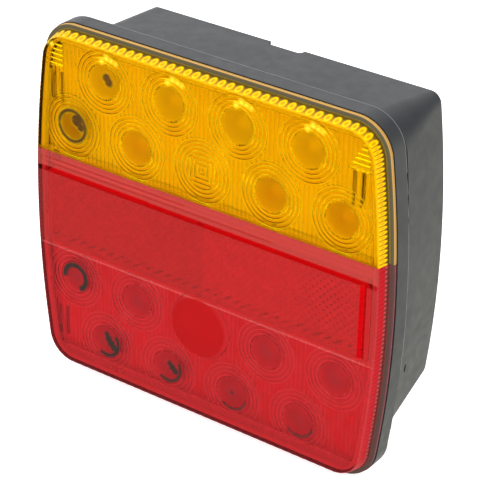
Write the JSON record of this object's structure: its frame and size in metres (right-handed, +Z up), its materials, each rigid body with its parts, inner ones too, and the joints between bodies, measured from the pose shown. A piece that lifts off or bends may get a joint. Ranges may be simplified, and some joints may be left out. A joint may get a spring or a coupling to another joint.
{
  "type": "trailer tail light",
  "caption": "Square trailer rear lamp: amber indicator above, red tail and stop lamp below, reflex reflector strip between, black housing with rear mounting studs.",
  "frame": {"origin": "midway between the two mounting studs, in the plane of the rear mounting face", "axes": "+Z up, +Y rearward along the studs towards the trailer, +X to the right as seen from in front of the lens"},
  "size_m": [0.1104, 0.0488, 0.1],
  "materials": {
    "housing_black": "fine moulded texture, satin black",
    "lens_amber": "clear amber, polished",
    "lens_red": "clear red, polished",
    "seal_rubber": "soft black",
    "reflex_red": "prismatic, clear red",
    "reflex_backing": "pale grey",
    "bezel_white": "satin white",
    "board_dark": "dark green lacquer",
    "led_amber": "pale yellow window in white body",
    "led_red": "clear window in white body",
    "component_black": "moulded epoxy",
    "capacitor_can": "bright",
    "terminal_plastic": "off-white",
    "contact_brass": "plain",
    "zinc_steel": "zinc plated",
    "stud_steel": "zinc plated",
    "stud_seal_rubber": "soft black",
    "grommet_rubber": "soft black",
    "vent_plastic": "black cap"
  },
  "bodies": {
    "root": {"housing": "housing_black", "lens_amber": "lens_amber", "lens_red": "lens_red", "lens_seal": "seal_rubber", "reflex_reflector_left": "reflex_red", "reflex_reflector_right": "reflex_red", "reflex_backing": "reflex_backing", "bezel_amber": "bezel_white", "bezel_red": "bezel_white", "light_divider": "bezel_white", "circuit_board": "board_dark", "led_amber_1": "led_amber", "led_amber_2": "led_amber", "led_amber_3": "led_amber", "led_amber_4": "led_amber", "led_amber_5": "led_amber", "led_amber_6": "led_amber", "led_amber_7": "led_amber", "led_amber_8": "led_amber", "led_red_1": "led_red", "led_red_2": "led_red", "led_red_3": "led_red", "led_red_4": "led_red", "led_red_5": "led_red", "led_red_6": "led_red", "led_red_7": "led_red", "led_red_8": "led_red", "resistor_1": "component_black", "resistor_2": "component_black", "resistor_3": "component_black", "resistor_4": "component_black", "resistor_5": "component_black", "resistor_6": "component_black", "diode_1": "component_black", "diode_2": "component_black", "diode_3": "component_black", "led_driver": "component_black", "capacitor": "capacitor_can", "terminal_block": "terminal_plastic", "terminal_pins": "contact_brass", "board_screws": "zinc_steel", "mounting_stud_left": "stud_steel", "mounting_stud_right": "stud_steel", "stud_seal_left": "stud_seal_rubber", "stud_seal_right": "stud_seal_rubber", "cable_grommet": "grommet_rubber", "breather_vent": "vent_plastic"}
  },
  "joints": []
}
